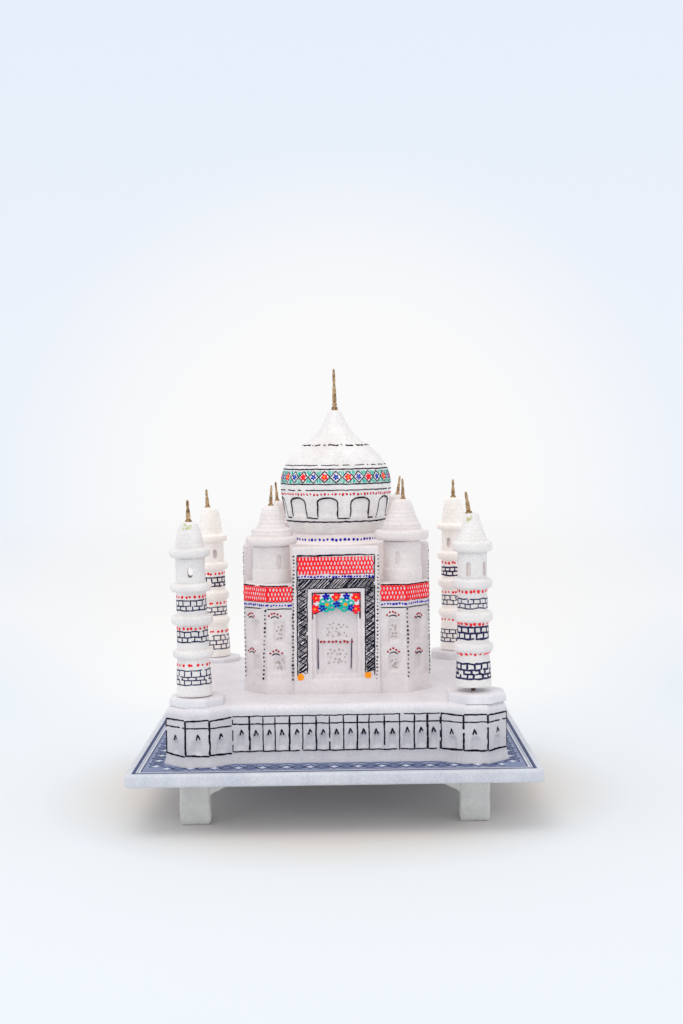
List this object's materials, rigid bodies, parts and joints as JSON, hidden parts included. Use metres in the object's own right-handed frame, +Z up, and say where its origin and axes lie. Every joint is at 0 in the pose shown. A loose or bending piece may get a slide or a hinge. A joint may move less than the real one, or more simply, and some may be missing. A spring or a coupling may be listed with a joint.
{
  "type": "miniature landmark model",
  "caption": "White stone souvenir model of a domed tomb with four corner minarets, on a square slab with feet, hand-painted.",
  "frame": {"origin": "on the standing surface, under the middle of the square slab", "axes": "+Z up, -Y towards the front, +X to the right of someone looking at the front"},
  "size_m": [0.203, 0.203, 0.2299],
  "materials": {
    "slab_stone": "polished, dark blue printed border",
    "foot_stone": "polished, slightly translucent",
    "terrace_stone": "satin, pen-drawn panels",
    "hall_stone": "satin, slightly translucent, pen and paint decoration",
    "minaret_stone": "satin, pen-drawn courses and red dots",
    "aged_brass": "aged, rough cast",
    "rusty_pin": "rusted"
  },
  "bodies": {
    "root": {"base_slab": "slab_stone", "foot_front_left": "foot_stone", "foot_front_right": "foot_stone", "foot_back_left": "foot_stone", "foot_back_right": "foot_stone", "terrace": "terrace_stone", "pedestal_front_left": "terrace_stone", "pedestal_front_right": "terrace_stone", "pedestal_back_left": "terrace_stone", "pedestal_back_right": "terrace_stone", "hall": "hall_stone", "portal_front": "hall_stone", "portal_back": "hall_stone", "portal_left": "hall_stone", "portal_right": "hall_stone", "drum": "hall_stone", "dome": "hall_stone", "main_finial": "aged_brass", "chhatri_kiosk_front_left": "hall_stone", "chhatri_cap_front_left": "hall_stone", "chhatri_finial_front_left": "aged_brass", "chhatri_kiosk_front_right": "hall_stone", "chhatri_cap_front_right": "hall_stone", "chhatri_finial_front_right": "aged_brass", "chhatri_kiosk_back_left": "hall_stone", "chhatri_cap_back_left": "hall_stone", "chhatri_finial_back_left": "aged_brass", "chhatri_kiosk_back_right": "hall_stone", "chhatri_cap_back_right": "hall_stone", "chhatri_finial_back_right": "aged_brass"},
    "pin_front_left": {"minaret_pin_front_left": "rusty_pin"},
    "minaret_front_left": {"minaret_shaft_front_left": "minaret_stone", "minaret_kiosk_front_left": "minaret_stone", "minaret_cap_front_left": "minaret_stone", "minaret_finial_front_left": "aged_brass"},
    "pin_front_right": {"minaret_pin_front_right": "rusty_pin"},
    "minaret_front_right": {"minaret_shaft_front_right": "minaret_stone", "minaret_kiosk_front_right": "minaret_stone", "minaret_cap_front_right": "minaret_stone", "minaret_finial_front_right": "aged_brass"},
    "pin_back_left": {"minaret_pin_back_left": "rusty_pin"},
    "minaret_back_left": {"minaret_shaft_back_left": "minaret_stone", "minaret_kiosk_back_left": "minaret_stone", "minaret_cap_back_left": "minaret_stone", "minaret_finial_back_left": "aged_brass"},
    "pin_back_right": {"minaret_pin_back_right": "rusty_pin"},
    "minaret_back_right": {"minaret_shaft_back_right": "minaret_stone", "minaret_kiosk_back_right": "minaret_stone", "minaret_cap_back_right": "minaret_stone", "minaret_finial_back_right": "aged_brass"}
  },
  "joints": [
    {"name": "lift_front_left", "type": "slide", "parent": "root", "child": "pin_front_left", "axis": [-0.0157, 0, 0.9999], "range_m": [0, 0.01]},
    {"name": "turn_front_left", "type": "hinge", "parent": "pin_front_left", "child": "minaret_front_left", "pos_m": [-0.0697, -0.0697, 0.06445], "axis": [-0.0157, 0, 0.9999], "continuous": true},
    {"name": "lift_front_right", "type": "slide", "parent": "root", "child": "pin_front_right", "axis": [0, 0, 1], "range_m": [-0.0022, 0.0078]},
    {"name": "turn_front_right", "type": "hinge", "parent": "pin_front_right", "child": "minaret_front_right", "pos_m": [0.0703, -0.0697, 0.06715], "axis": [0, 0, 1], "continuous": true},
    {"name": "lift_back_left", "type": "slide", "parent": "root", "child": "pin_back_left", "axis": [-0.0209, 0, 0.9998], "range_m": [0, 0.01]},
    {"name": "turn_back_left", "type": "hinge", "parent": "pin_back_left", "child": "minaret_back_left", "pos_m": [-0.0716, 0.0697, 0.06305], "axis": [-0.0209, 0, 0.9998], "continuous": true},
    {"name": "lift_back_right", "type": "slide", "parent": "root", "child": "pin_back_right", "axis": [-0.0035, 0, 1], "range_m": [0, 0.01]},
    {"name": "turn_back_right", "type": "hinge", "parent": "pin_back_right", "child": "minaret_back_right", "pos_m": [0.0723, 0.0697, 0.06495], "axis": [-0.0035, 0, 1], "continuous": true}
  ]
}
